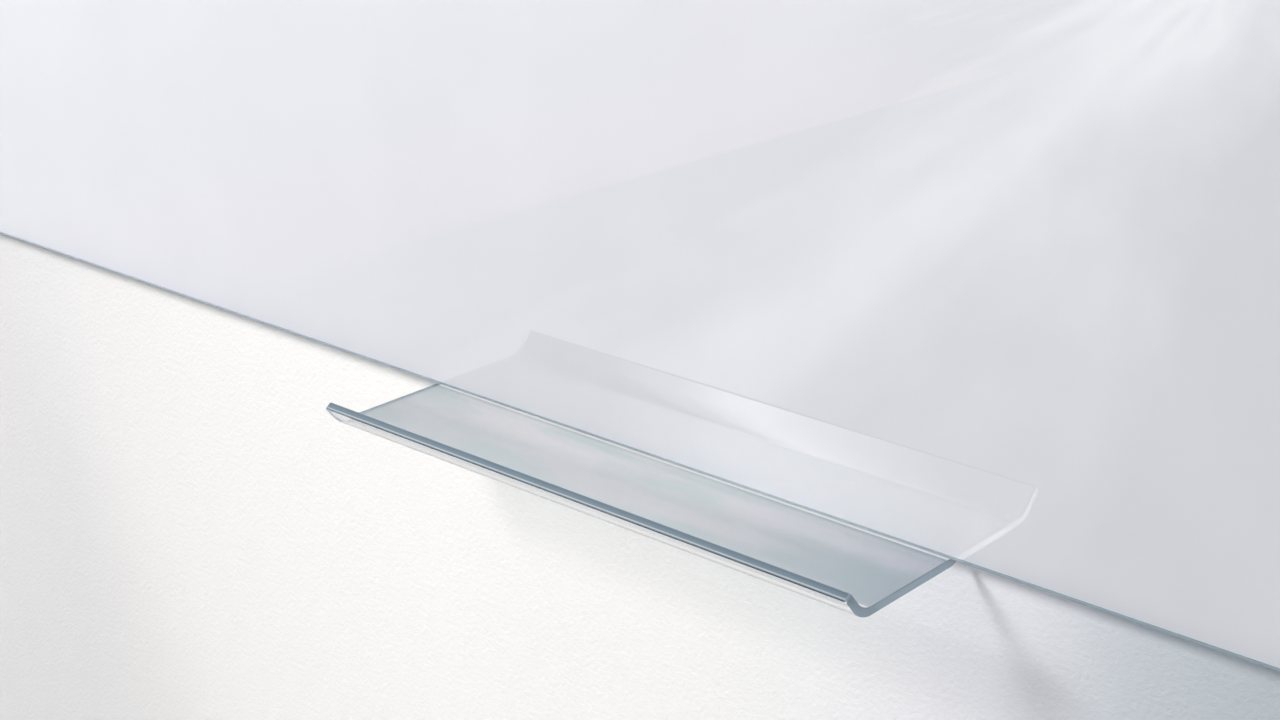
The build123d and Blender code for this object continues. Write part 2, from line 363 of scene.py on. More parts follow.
galvanised, tree, place = start_finish("galvanised_steel")
crystals = add(tree, "TexVoronoi", {"Vector": place, "Scale": 1 / SPANGLE})
crystal = add(tree, "SeparateColor", {"Color": crystals.outputs["Color"]})
zinc = add(tree, "ValToRGB", {"Fac": crystal}, stops=[(0.0, "#A9AEB1"), (1.0, "#C3C8CA")])
matt = add(tree, "MapRange", {"Value": crystal.outputs["Green"], "To Min": 0.38, "To Max": 0.55})
fine = add(tree, "TexNoise", {"Vector": place, "Scale": ZINC_GRAINS_PER_METRE, "Detail": 2.0})
relief = add(tree, "Bump", {"Height": fine, "Distance": ZINC_RELIEF})
show(tree, add(tree, "BsdfPrincipled", {"Base Color": zinc, "Metallic": 1.0, "Roughness": matt,
                                        "Normal": relief}))
print("zinc spangles:", SPANGLE * 1000, "mm across")

# %% Brushed rail steel
BRUSH_SPACING = 0.0003
BRUSH_DEPTH = 0.000015

brushed, tree, place = start_finish("brushed_rail_steel")
along_rail = add(tree, "Mapping", {"Vector": place, "Scale": (0.01, 1, 1)})
grain = add(tree, "TexNoise", {"Vector": along_rail, "Scale": 1 / BRUSH_SPACING, "Detail": 3.0})
tone = add(tree, "ValToRGB", {"Fac": grain}, stops=[(0.3, "#AAACAD"), (0.7, "#D0D2D3")])
matt = add(tree, "MapRange", {"Value": grain, "To Min": 0.22, "To Max": 0.42})
relief = add(tree, "Bump", {"Height": grain, "Distance": BRUSH_DEPTH})
show(tree, add(tree, "BsdfPrincipled", {"Base Color": tone, "Metallic": 1.0, "Roughness": matt,
                                        "Normal": relief}))
print("brush grain:", BRUSH_SPACING * 1000, "mm apart")

# %% Nickel plate
MOTTLES_PER_METRE = 700.0

nickel, tree, place = start_finish("bright_nickel_plate")
mottle = add(tree, "TexNoise", {"Vector": place, "Scale": MOTTLES_PER_METRE, "Detail": 2.0})
tone = add(tree, "ValToRGB", {"Fac": mottle}, stops=[(0.3, "#B5B1A6"), (0.7, "#CFCBC0")])
shine = add(tree, "MapRange", {"Value": mottle, "To Min": 0.12, "To Max": 0.26})
show(tree, add(tree, "BsdfPrincipled", {"Base Color": tone, "Metallic": 1.0, "Roughness": shine}))
print("nickel mottle:", round(1000 / MOTTLES_PER_METRE, 1), "mm across")

# %% [markdown]
# ## Soft and moulded pieces
#
# Foam tape, vinyl, nylon, polyurethane and silicone are all dull, and differ in colour, in how
# matt they are and in the size and height of their grain, so one function makes them all.


# %% Dull plastics and rubbers
def dull_finish(name, dark, light, roughness, grain_size, grain_height):
    """A matt moulded finish whose colour, shine and relief follow one grain, sized in metres."""
    material, tree, place = start_finish(name)
    grain = add(tree, "TexNoise", {"Vector": place, "Scale": 1 / grain_size, "Detail": 4.0})
    tone = add(tree, "ValToRGB", {"Fac": grain}, stops=[(0.3, dark), (0.7, light)])
    matt = add(tree, "MapRange", {"Value": grain, "To Min": roughness - 0.08, "To Max": roughness + 0.08})
    relief = add(tree, "Bump", {"Height": grain, "Distance": grain_height})
    show(tree, add(tree, "BsdfPrincipled", {"Base Color": tone, "Roughness": matt, "Normal": relief}))
    return material


adhesive = dull_finish("laminating_film", "#BDBDB4", "#CBCBC2", 0.45, 0.003, 0.00001)
foam = dull_finish("acrylic_foam_tape", "#2B2B2D", "#3C3C3F", 0.80, 0.0004, 0.00005)
vinyl = dull_finish("soft_white_vinyl", "#CFCFC9", "#DEDED9", 0.50, 0.002, 0.00002)
nylon = dull_finish("moulded_nylon", "#33363A", "#42464A", 0.55, 0.0006, 0.00003)
rubber = dull_finish("polyurethane_bumper", "#26262A", "#34343A", 0.60, 0.0008, 0.00003)
silicone = dull_finish("silicone_pad", "#4A4D52", "#5B5F65", 0.65, 0.0005, 0.00004)
routed = dull_finish("routed_acrylic_pocket", "#C3CBCF", "#D3DADD", 0.60, 0.0006, 0.00003)
print(len(bpy.data.materials), "materials so far, the CAD pieces' own among them")

# %% [markdown]
# ## Building a piece from rings
#
# A pane, a bent strip, a disc and a tapered foot look unlike each other, but each is a row of
# closed rings, joined by bands of faces and shut at both ends. One loft function makes them all.
# It asks which finish each face gets and marks crisp edges sharp. Another function hands the
# piece to the body that it moves with and to the CAD node that it stands for.

# %% Loft helpers
CRISP_ANGLE = radians(30)
SAME_POINT = 1e-7


def mark_crisp_edges(mesh_data):
    """Smooth shading that breaks at every edge sharper than the crisp angle."""
    shaped = bmesh.new()
    shaped.from_mesh(mesh_data)
    for face in shaped.faces:
        face.smooth = True
    for edge in shaped.edges:
        edge.smooth = len(edge.link_faces) == 2 and edge.calc_face_angle() < CRISP_ANGLE
    shaped.to_mesh(mesh_data)
    shaped.free()


def loft(name, rings, materials, finish=lambda band, column: 0):
    """A closed mesh object. finish gives the number of the material for a band and a column."""
    shaped = bmesh.new()
    rows = [[shaped.verts.new(point) for point in ring] for ring in rings]
    count = len(rows[0])
    for band in range(len(rows) - 1):
        for column in range(count):
            after = (column + 1) % count
            face = shaped.faces.new((rows[band][column], rows[band][after],
                                     rows[band + 1][after], rows[band + 1][column]))
            face.material_index = finish(band, column)
    for band, row in (("start", rows[0]), ("end", rows[-1])):
        shaped.faces.new(row).material_index = finish(band, 0)
    bmesh.ops.remove_doubles(shaped, verts=shaped.verts, dist=SAME_POINT)
    bmesh.ops.recalc_face_normals(shaped, faces=shaped.faces)
    mesh_data = bpy.data.meshes.new(name)
    shaped.to_mesh(mesh_data)
    shaped.free()
    mark_crisp_edges(mesh_data)
    for material in materials:
        mesh_data.materials.append(material)
    piece = bpy.data.objects.new(name, mesh_data)
    bpy.context.scene.collection.objects.link(piece)
    print(name, "has", len(mesh_data.polygons), "faces")
    return piece


def dress(piece, body, node):
    """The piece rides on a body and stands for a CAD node."""
    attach(piece, body)
    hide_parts(node)


print("edges sharper than", round(degrees(CRISP_ANGLE)), "degrees stay crisp")

# %% [markdown]
# ## The pane and its layers
#
# Four rounded sheets lie behind each other: glass, enamel, adhesive and steel. The glass has an
# arris, a narrow bevel, ground round both faces, which draws a fine line of light. The back face
# of the pane carries the fused enamel, and the coat behind it stands off by two hundredths of a
# millimetre, because faces in the same place would flicker.

# %% The pane
CORNER_RADIUS = 0.012
CORNER_STEPS = 16
GLASS_ARRIS = 0.0003
LAYER_ARRIS = 0.00003
STANDOFF = 0.00002


def rounded_ring(low, high, radius, inset, y):
    """A rounded rectangle, drawn inset within a box, at this depth."""
    points = []
    for x, z, start in ((high.x, high.z, 0), (low.x, high.z, 90), (low.x, low.z, 180), (high.x, low.z, 270)):
        middle_x = x - radius if x == high.x else x + radius
        middle_z = z - radius if z == high.z else z + radius
        for step in range(CORNER_STEPS + 1):
            turn = radians(start + 90 * step / CORNER_STEPS)
            reach = radius - inset
            points.append((middle_x + reach * cos(turn), y, middle_z + reach * sin(turn)))
    return points


def layer(name, node, arris, standoffs, materials, finish=lambda band, column: 0):
    """A rounded sheet in place of a CAD layer, less a standoff at its front and at its back."""
    low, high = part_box(node)
    radius = CORNER_RADIUS - (low.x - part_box("glass_panel")[0].x)
    front, back = low.y + standoffs[0], high.y - standoffs[1]
    rings = [rounded_ring(low, high, radius, arris, front),
             rounded_ring(low, high, radius, 0, front + arris),
             rounded_ring(low, high, radius, 0, back - arris),
             rounded_ring(low, high, radius, arris, back)]
    dress(loft(name, rings, materials, finish), "board", node)


def pane_finish(band, column):
    """Float glass in front, fused enamel on the back and a ground edge between them."""
    return {"start": 0, "end": 2}.get(band, 1)


layer("glass_pane", "glass_panel", GLASS_ARRIS, (0, 0),
      [float_glass, ground_edge, fused_enamel], pane_finish)
layer("enamel_coat", "white_enamel", LAYER_ARRIS, (STANDOFF, STANDOFF), [bare_enamel])
layer("adhesive_film", "laminating_adhesive", LAYER_ARRIS, (0, STANDOFF), [adhesive])
layer("steel_sheet", "steel_backing_sheet", LAYER_ARRIS, (0, 0), [galvanised])

# %% [markdown]
# ## The path of the tray's strip
#
# The tray starts as a flat strip: lip, floor and leg lie one after the other. A line with two
# bends carries the strip's middle from the tip of the lip to the top of the leg. Each station on
# it is a place, a heading and how far the nearer end of the strip is, because the corners there
# are rounded.

# %% The bent line
FLOOR_DEPTH = 0.058
LIP_LENGTH = 0.014
LIP_BEND_RADIUS = 0.012
REAR_BEND_RADIUS = 0.003
BEND_STEPS = 28
TRAY_ARRIS = 0.0003
LIP_CORNER_RADIUS = 0.001
LEG_CORNER_RADIUS = 0.008
CORNER_ARC_STEPS = 8
FAR_FROM_ENDS = 1.0


def straight_end(tip, heading, corner_radius):
    """Stations at an end of the strip, where its arris and its rounded corners need them."""
    turns = [pi / 2 * step / CORNER_ARC_STEPS for step in range(CORNER_ARC_STEPS + 1)]
    insets = {corner_radius * (1 - cos(turn)) for turn in turns} | {TRAY_ARRIS}
    return [(tip + heading * inset, heading, inset, corner_radius) for inset in sorted(insets)]


def bend(corner, heading, leaving, radius):
    """Stations along an arc that rounds a corner of the line."""
    turn = atan2(heading.cross(leaving), heading.dot(leaving))
    start = corner - heading * radius * tan(abs(turn) / 2)
    middle = start + Vector((-heading.y, heading.x)) * radius * (1 if turn > 0 else -1)
    stations = []
    for step in range(BEND_STEPS + 1):
        swing = Matrix.Rotation(turn * step / BEND_STEPS, 2)
        stations.append((middle + swing @ (start - middle), swing @ heading, FAR_FROM_ENDS, 0))
    return stations


tray_low, tray_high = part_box("pen_tray")
half_thickness = TRAY_THICKNESS / 2
middle_shift = half_thickness * tan(LIP_ANGLE / 2)
floor_height = tray_low.z + half_thickness
lip_foot = Vector((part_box("glass_panel")[0].y - FLOOR_DEPTH - middle_shift, floor_height))
down_the_lip = Vector((cos(LIP_ANGLE), -sin(LIP_ANGLE)))
lip_tip = lip_foot - down_the_lip * (LIP_LENGTH + middle_shift)
leg_foot = Vector((tray_high.y - half_thickness, floor_height))
leg_top = Vector((leg_foot.x, tray_high.z))
inwards, upwards = Vector((1, 0)), Vector((0, 1))

leg_end = [(place, upwards, inset, radius)
           for place, heading, inset, radius in reversed(straight_end(leg_top, -upwards, LEG_CORNER_RADIUS))]
tray_stations = (straight_end(lip_tip, down_the_lip, LIP_CORNER_RADIUS)
                 + bend(lip_foot, down_the_lip, inwards, LIP_BEND_RADIUS + half_thickness)
                 + bend(leg_foot, inwards, upwards, REAR_BEND_RADIUS + half_thickness)
                 + leg_end)
print(len(tray_stations), "stations from the tip of the lip to the top of the leg")

# %% [markdown]
# ## The tray's mesh
#
# At each station the strip's section is a rectangle with its four edges cut off by the arris.
# The wide faces keep the gloss of the sheet, and the narrow faces and arrises are cut edges. The
# flat floor is etched satin from below.

# %% Loft the tray
CLEAR, CUT, SATIN, ROUTED, TIP, ARRIS = range(6)
SAME_WAY = 0.999
half_tray = (tray_high.x - tray_low.x) / 2


def half_width(from_end, corner_radius, inset):
    """Half the strip's width this far from its end, inside an outline drawn in by the inset."""
    if from_end >= corner_radius:
        return half_tray - inset
    reach = (corner_radius - inset) ** 2 - (corner_radius - from_end) ** 2
    return half_tray - corner_radius + sqrt(max(reach, 0))


def strip_section(place, heading, from_end, corner_radius):
    """The eight corners of the strip's section, as points of the frame."""
    across = Vector((-heading.y, heading.x))
    wide = half_width(from_end, corner_radius, 0)
    narrow = half_width(max(from_end, TRAY_ARRIS), corner_radius, TRAY_ARRIS)
    shallow = half_thickness - TRAY_ARRIS
    deep = half_thickness - max(TRAY_ARRIS - from_end, 0)
    corners = [(-wide, -shallow), (-wide, shallow), (-narrow, deep), (narrow, deep),
               (wide, shallow), (wide, -shallow), (narrow, -deep), (-narrow, -deep)]
    return [(x, *(place + across * depth)) for x, depth in corners]


def clear_faces_cut_edges(band, column):
    """Clear on the sheet's two wide faces, cut at both ends, at the narrow faces and the arrises."""
    return CLEAR if band not in ("start", "end") and column in (2, 6) else CUT


cut_tip = cut_tip_finish(Vector((0, *lip_tip)))
tray = loft("clear_pen_tray", [strip_section(*station) for station in tray_stations],
            [acrylic, acrylic_edge, satin_acrylic, routed, cut_tip, scraped_arris],
            clear_faces_cut_edges)
out_of_the_tip = Vector((0, *-down_the_lip))
out_of_the_arris = (out_of_the_tip + ACROSS_LIP).normalized()
for face in tray.data.polygons:
    if face.material_index == CLEAR and face.normal.z < -SAME_WAY:
        face.material_index = SATIN
    if face.normal.dot(out_of_the_tip) > SAME_WAY:
        face.material_index = TIP
    if face.normal.dot(out_of_the_arris) > SAME_WAY and face.center.z > lip_tip.y:
        face.material_index = ARRIS

# %% [markdown]
# ## Pockets for the magnets
#
# Three flat-bottomed pockets are routed into the leg, on the side that meets the steel. Boolean
# modifiers with a disc for each magnet cut them, and their result is kept as the tray's mesh. A
# router leaves a milky surface, so the faces of the pockets get the routed finish.

# %% Magnet pockets
SIDES = ("left", "middle", "right")
POCKET_CLEARANCE = 0.0001
DISC_STEPS = 64
CUTTER_OVERRUN = 0.001


def disc_rings(middle, profile):
    """Rings round an axis that runs straight into the wall, from pairs of a radius and a depth."""
    turns = [2 * pi * step / DISC_STEPS for step in range(DISC_STEPS)]
    return [[(middle.x + radius * cos(turn), y, middle.z + radius * sin(turn)) for turn in turns]
            for radius, y in profile]


def disc_size(node):
    """Middle, radius, front and back of a disc that faces the wall."""
    low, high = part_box(node)
    return (low + high) / 2, (high.x - low.x) / 2, low.y, high.y


cutters = []
for side in SIDES:
    middle, radius, front, back = disc_size(f"tray_magnet_{side}")
    pocket = [(radius + POCKET_CLEARANCE, front - CUTTER_OVERRUN), (radius + POCKET_CLEARANCE, back)]
    cutters.append(loft(f"cutter_{side}", disc_rings(middle, pocket), [routed]))
    cut = tray.modifiers.new(f"pocket_{side}", "BOOLEAN")
    cut.operation = "DIFFERENCE"
    cut.solver = "EXACT"
    cut.object = cutters[-1]
bpy.context.view_layer.update()
with_pockets = bpy.data.meshes.new_from_object(tray.evaluated_get(bpy.context.evaluated_depsgraph_get()))
tray.modifiers.clear()
tray.data = with_pockets
for cutter in cutters:
    bpy.data.objects.remove(cutter)
for face in tray.data.polygons:
    if front + SAME_POINT < face.center.y < back + SAME_POINT and abs(face.center.z - middle.z) < radius:
        face.material_index = ROUTED
mark_crisp_edges(tray.data)
dress(tray, "tray", "pen_tray")
print("tray has", len(tray.data.polygons), "faces and", len(tray.data.materials), "finishes")

# %% [markdown]
# ## Bumpers and slip pads
#
# Each bumper is cast polyurethane: a taper with a soft rim and a shallow cup in its tip, which
# stops it from sticking to the paint. The slip pads are punched silicone discs with a soft rim.
# Both are turned shapes, so they are the same loft with rings round an axis.

# %% Bumpers
BUMPER_TIP_RADIUS = 0.0085
TIP_ROUNDING = 0.0012
TIP_ROUNDING_STEPS = 8
CUP_RADIUS = 0.005
CUP_DEPTH = 0.0004
BASE_ROUNDING = 0.0004

for row in ("top", "bottom"):
    for side in ("left", "right"):
        name = f"wall_bumper_{row}_{side}"
        middle, base_radius, front, back = disc_size(name)
        profile = [(CUP_RADIUS / 2, back - CUP_DEPTH), (CUP_RADIUS, back - CUP_DEPTH / 2),
                   (CUP_RADIUS + CUP_DEPTH, back)]
        for step in range(TIP_ROUNDING_STEPS + 1):
            turn = pi / 2 * step / TIP_ROUNDING_STEPS
            profile.append((BUMPER_TIP_RADIUS - TIP_ROUNDING * (1 - sin(turn)),
                            back - TIP_ROUNDING * (1 - cos(turn))))
        profile += [(base_radius, front + BASE_ROUNDING), (base_radius - BASE_ROUNDING, front)]
        dress(loft(f"soft_{name}", disc_rings(middle, profile), [rubber]), "board", name)

# %% Slip pads
PAD_ROUNDING = 0.00015

for side in SIDES:
    name = f"tray_slip_pad_{side}"
    middle, radius, front, back = disc_size(name)
    profile = [(radius - PAD_ROUNDING, front), (radius, front + PAD_ROUNDING), (radius, back - PAD_ROUNDING),
               (radius - PAD_ROUNDING, back)]
    dress(loft(f"soft_{name}", disc_rings(middle, profile), [silicone]), "tray", name)

# %% [markdown]
# ## CAD pieces that keep their shape
#
# Folded rails, end stops, liners, tapes and magnets already have their true form, so they only
# get their finish. A thin bevel, after the doubled points are welded, rounds the sheared edges
# of the rails by a tenth of a millimetre, and that is what makes sheet metal catch the light.

# %% Finishes for the CAD pieces
SHEARED_EDGE = 0.00012
WELD_DISTANCE = 0.000001
RAILS = [f"{row}_{kind}_rail" for row in ("top", "bottom") for kind in ("wall", "board")]
CAD_FINISHES = {
    brushed: RAILS,
    nylon: ["rail_end_stop_left", "rail_end_stop_right"],
    vinyl: ["top_rail_liner", "bottom_rail_liner"],
    foam: ["top_rail_bond_tape", "bottom_rail_bond_tape"],
    nickel: [f"tray_magnet_{side}" for side in SIDES],
}
for finish, names in CAD_FINISHES.items():
    for name in names:
        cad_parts[name].material_slots[0].material = finish
for name in RAILS:
    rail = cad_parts[name]
    rail.modifiers.new("weld", "WELD").merge_threshold = WELD_DISTANCE
    rounded = rail.modifiers.new("sheared_edge", "BEVEL")
    rounded.width = SHEARED_EDGE
    rounded.segments = 2
    rounded.angle_limit = CRISP_ANGLE
print(sum(len(names) for names in CAD_FINISHES.values()), "CAD pieces have their finish")

# %% [markdown]
# ## Wall and floor
#
# The wall isn't part of the board, but it is seen through the tray, so it matters. It is painted
# plaster with a fine trowelled grain. A pool of light is painted on it: a ramp runs along it,
# brightest behind the tray's left half, fading to a warm grey on the left and to a cool one on the
# right. A painted shadow lies where the tray's shadow ends, and painted shade darkens the tone a
# little towards the lower left. Higher up the tone is even, and it is held back where the lamp is
# near, so that nothing burns out.
#
# The wall's back is left out, so that the views from behind show how the board hangs, and the wall
# stops neither the lamps nor the soft bounces, so that the back of the board is lit there too.
# Mirror rays find it evenly lit, even in the narrow gap behind the board, or the steel there would
# look black. The floor's underside is left out in the same way, for views from below.


# %% Wall
def stage_plane(name, corners, material, middle=(0, 0, 0)):
    """A flat backdrop that faces the side from which its corners run anticlockwise."""
    data = bpy.data.meshes.new(name)
    data.from_pydata(corners, [], [range(len(corners))])
    data.materials.append(material)
    plane = bpy.data.objects.new(name, data)
    plane.location = middle
    bpy.context.scene.collection.objects.link(plane)
    return plane


def level_square(reach, height=0):
    """The corners of a square round its origin that faces up."""
    return [(reach * x, reach * y, height) for x, y in ((-1, -1), (1, -1), (1, 1), (-1, 1))]


def show_front_only(tree, front):
    """Ends a material that is clear where it is met from behind."""
    nothing = add(tree, "BsdfTransparent")
    from_behind = add(tree, "NewGeometry").outputs["Backfacing"]
    show(tree, add(tree, "MixShader", {0: from_behind, 1: front, 2: nothing}))


def hide_from(thing, *rays):
    """Takes an object out of the way of these kinds of ray."""
    for kind in rays:
        setattr(thing, "visible_" + kind, False)


KEY_TARGET = Vector((0.15, 0.0, -0.358))
KEY_DIRECTION = Vector((0.64, 1.0, -0.80)).normalized()
KEY_DISTANCE = 2.6
KEY_PLACE = KEY_TARGET - KEY_DIRECTION * KEY_DISTANCE
LAMP_NEAR, LAMP_FAR, NEAR_LAMP_TONE = 1.8, 2.4, 0.46
SHADOW_END = Vector((0.190, 0.0, -0.409))
SHADOW_TAIL_START, SHADOW_TAIL_END, SHADOW_TAIL_TONE = 0.004, 0.030, 0.90
CORNER_WAY = (-1.0, 0.0, -0.6)
CORNER_START, CORNER_END, CORNER_TONE = 0.70, 0.84, 0.93
LIGHT_LEFT, LIGHT_RIGHT = -0.50, 0.90
LIT_BAND_HEIGHT = -0.55
BAND_START, BAND_END = 0.22, 0.85
HIGH_TONE = "#E6E8EA"
MIRRORED_STRENGTH = 0.85
PLASTER_GRAIN = 0.0025
PLASTER_RELIEF = 0.0006
WALL_REACH = 3.0
WALL_GAP = 0.0001
FLOOR_HEIGHT = -1.35

plaster, tree, place = start_finish("painted_plaster")
spot = add(tree, "SeparateXYZ", {"Vector": place})
share = add(tree, "MapRange", {"Value": spot.outputs["X"], "From Min": LIGHT_LEFT, "From Max": LIGHT_RIGHT})
# A painted pool of light along the wall.
low_light = add(tree, "ValToRGB", {"Fac": share},
                stops=[(0.0, "#ECEBED"), (0.09, "#F5F4F3"), (0.16, "#FAF9F9"), (0.24, "#FEFDFC"),
                       (0.36, "#FEFDFC"), (0.41, "#FAFAFB"), (0.45, "#F2F1F6"), (0.49, "#E5E6EC"),
                       (0.52, "#CDD3DA"), (0.57, "#BDC5CB"), (1.0, "#E2E4E6")])
# A painted shadow, darker where the tray's shadow ends.
from_shadow = add(tree, "VectorMath", {0: place, 1: SHADOW_END}, operation="DISTANCE").outputs["Value"]
painted_shadow_tail = add(tree, "MapRange", {"Value": from_shadow, "From Min": SHADOW_TAIL_START, "From Max": SHADOW_TAIL_END,
                                "To Min": SHADOW_TAIL_TONE, "To Max": 1.0}, interpolation_type="SMOOTHSTEP")
# Painted shade: the tone drops a little towards the lower left.
to_corner = add(tree, "VectorMath", {0: place, 1: CORNER_WAY}, operation="DOT_PRODUCT").outputs["Value"]
corner = add(tree, "MapRange", {"Value": to_corner, "From Min": CORNER_START, "From Max": CORNER_END,
                                "To Min": 1.0, "To Max": CORNER_TONE}, interpolation_type="SMOOTHSTEP")
shading = add(tree, "Math", {0: painted_shadow_tail, 1: corner}, operation="MULTIPLY")
low_tone = add(tree, "VectorMath", {0: low_light, "Scale": shading}, operation="SCALE")
above_band = add(tree, "Math", {0: spot.outputs["Z"], 1: LIT_BAND_HEIGHT}, operation="SUBTRACT")
away = add(tree, "Math", {0: above_band}, operation="ABSOLUTE")
out_of_light = add(tree, "MapRange", {"Value": away, "From Min": BAND_START, "From Max": BAND_END},
                   interpolation_type="SMOOTHSTEP")
by_height = add(tree, "Mix", {0: out_of_light, 6: low_tone, 7: linear(HIGH_TONE)}, data_type="RGBA")
from_lamp = add(tree, "VectorMath", {0: place, 1: KEY_PLACE}, operation="DISTANCE").outputs["Value"]
held_back = add(tree, "MapRange", {"Value": from_lamp, "From Min": LAMP_NEAR, "From Max": LAMP_FAR,
                                   "To Min": NEAR_LAMP_TONE, "To Max": 1.0})
fade = add(tree, "VectorMath", {0: by_height.outputs[2], "Scale": held_back}, operation="SCALE")
grain = add(tree, "TexNoise", {"Vector": place, "Scale": 1 / PLASTER_GRAIN, "Detail": 4.0,
                               "Roughness": 0.6})
relief = add(tree, "Bump", {"Height": grain, "Distance": PLASTER_RELIEF})
paint = add(tree, "BsdfDiffuse", {"Color": fade, "Normal": relief})
evenly_lit = add(tree, "Emission", {"Color": fade, "Strength": MIRRORED_STRENGTH})
mirrored = add(tree, "LightPath").outputs["Is Glossy Ray"]
show_front_only(tree, add(tree, "MixShader", {0: mirrored, 1: paint, 2: evenly_lit}))

wall = stage_plane("wall", [(-WALL_REACH, WALL_GAP, FLOOR_HEIGHT), (WALL_REACH, WALL_GAP, FLOOR_HEIGHT),
                            (WALL_REACH, WALL_GAP, WALL_REACH), (-WALL_REACH, WALL_GAP, WALL_REACH)],
                   plaster)
hide_from(wall, "shadow", "diffuse")
print("the wall's tones run from", LIGHT_LEFT, "to", LIGHT_RIGHT, "metres along the board")

# %% Floor
FLOOR_REACH = 8.0
FLOOR_LIFT = 0.45
SPECKLES_PER_METRE = 12.0

pale_floor, tree, place = start_finish("pale_floor")
speckle = add(tree, "TexNoise", {"Vector": place, "Scale": SPECKLES_PER_METRE, "Detail": 3.0})
tone = add(tree, "ValToRGB", {"Fac": speckle}, stops=[(0.3, "#E2E3E6"), (0.7, "#E8E9EB")])
lit = add(tree, "BsdfDiffuse", {"Color": tone})
lift = add(tree, "Emission", {"Color": tone, "Strength": FLOOR_LIFT})
lifted = add(tree, "AddShader", {0: lit, 1: lift})
soft_bounce = add(tree, "LightPath").outputs["Is Diffuse Ray"]
show_front_only(tree, add(tree, "MixShader", {0: soft_bounce, 1: lifted, 2: lit}))
stage_plane("floor", level_square(FLOOR_REACH, FLOOR_HEIGHT), pale_floor)
print("the floor lies", -FLOOR_HEIGHT, "metres below the middle of the board")

# %% [markdown]
# ## What the glass mirrors
#
# From here the pane mirrors the floor of the room, far out to the left, where daylight from a
# distant opening fans out in soft streaks. A bare floor would leave the glass looking like paint.
# So a panel lies just above the floor that only mirrored and bent rays can see. The fan starts at
# its origin: the angle round that point picks the brightness from a ramp, and a noise that is
# stretched away from the point breaks it up into fine streaks. The radial gradient gives that angle
# as a share of a full turn, where one half is straight to the right. One straight edge cuts across
# the fan, with a pinkish light on its left and a greyer one on its right.
#
# The mirrored tray stands between the pane and that floor: rays that it has bent find a softer
# beam there, brightest in its middle. The beam is laid out by its bearing from the tray, so that it
# narrows towards the board and the curve of the lip's bend can't gather it into a line.

# %% Mirrored daylight
FAN_START = (-3.35, -8.13, FLOOR_HEIGHT + 0.01)
FAN_LEFT, FAN_RIGHT = 115.0, 63.0
FAN_REACH = 9.0
DAYLIGHT_STRENGTH = 4.6
BRIGHT_STREAK = 0.22
PLAIN_LIGHT = "#DFDFDF"
STREAK_STRETCH, STREAKS_ACROSS, STREAK_SWAY = 0.04, 14.0, 0.10
NARROW_AT, WIDE_AT, NARROW_SHARE = 3.0, 4.4, 0.35
EDGE_WAY, EDGE_WIDTH = (1.0, 0.038, 0.0), 1.6
WEDGE_COMES, WEDGE_IS_FULL, WEDGE_GOES, WEDGE_IS_GONE = 3.4, 4.2, 5.1, 6.1
BRIGHT_AT, DIM_AT, BRIGHT_GAIN, DIM_GAIN = 2.4, 6.8, 1.38, 0.72

daylight, tree, place = start_finish("daylight_on_the_floor")
turn = add(tree, "TexGradient", {"Vector": place}, gradient_type="RADIAL").outputs["Fac"]
across_fan = add(tree, "MapRange", {"Value": turn, "From Min": 0.5 + FAN_RIGHT / 360,
                                    "From Max": 0.5 + FAN_LEFT / 360})
reach = add(tree, "VectorMath", {0: place}, operation="LENGTH").outputs["Value"]
drawn_out = add(tree, "Math", {0: reach, 1: STREAK_STRETCH}, operation="MULTIPLY")
fan_place = add(tree, "CombineXYZ", {"X": across_fan, "Y": drawn_out})
fine_streaks = add(tree, "TexNoise", {"Vector": fan_place, "Scale": STREAKS_ACROSS, "Detail": 3.0,
                                      "Roughness": 0.55})
shift = add(tree, "MapRange", {"Value": fine_streaks, "To Min": -STREAK_SWAY, "To Max": STREAK_SWAY})
spread = add(tree, "MapRange", {"Value": reach, "From Min": NARROW_AT, "From Max": WIDE_AT,
                                "To Min": NARROW_SHARE, "To Max": 1.0})
from_streak = add(tree, "Math", {0: across_fan, 1: BRIGHT_STREAK}, operation="SUBTRACT")
widened = add(tree, "Math", {0: from_streak, 1: spread, 2: BRIGHT_STREAK}, operation="MULTIPLY_ADD")
shifted = add(tree, "Math", {0: widened, 1: shift}, operation="ADD")
fan = add(tree, "ValToRGB", {"Fac": shifted},
          stops=[(0.02, "#6C6E73"), (0.09, "#63656B"), (0.15, "#C0C1C6"), (0.21, "#FFFFFF"),
                 (0.30, "#B0B1B8"), (0.40, "#C6BECD"), (0.55, "#BDBDC2"), (1.00, "#B8B9BD")])
over_edge = add(tree, "VectorMath", {0: place, 1: EDGE_WAY}, operation="DOT_PRODUCT").outputs["Value"]
edge_share = add(tree, "MapRange", {"Value": over_edge, "From Max": EDGE_WIDTH})
wedge = add(tree, "ValToRGB", {"Fac": edge_share},
            stops=[(0.06, PLAIN_LIGHT), (0.25, "#ECE2E5"), (0.535, "#F6E5E8"), (0.55, "#C4C6CC"),
                   (0.75, "#D0D1D5"), (1.0, PLAIN_LIGHT)])
begins = add(tree, "MapRange", {"Value": reach, "From Min": WEDGE_COMES, "From Max": WEDGE_IS_FULL})
ends = add(tree, "MapRange", {"Value": reach, "From Min": WEDGE_IS_GONE, "From Max": WEDGE_GOES})
wedge_holds = add(tree, "Math", {0: begins, 1: ends}, operation="MULTIPLY")
edge_tone = add(tree, "Mix", {0: wedge_holds, 6: linear(PLAIN_LIGHT), 7: wedge}, data_type="RGBA")
fan_tone = add(tree, "Mix", {0: 1.0, 6: fan, 7: edge_tone.outputs[2]},
               data_type="RGBA", blend_type="MULTIPLY")
fading = add(tree, "MapRange", {"Value": reach, "From Min": BRIGHT_AT, "From Max": DIM_AT,
                                "To Min": BRIGHT_GAIN, "To Max": DIM_GAIN})
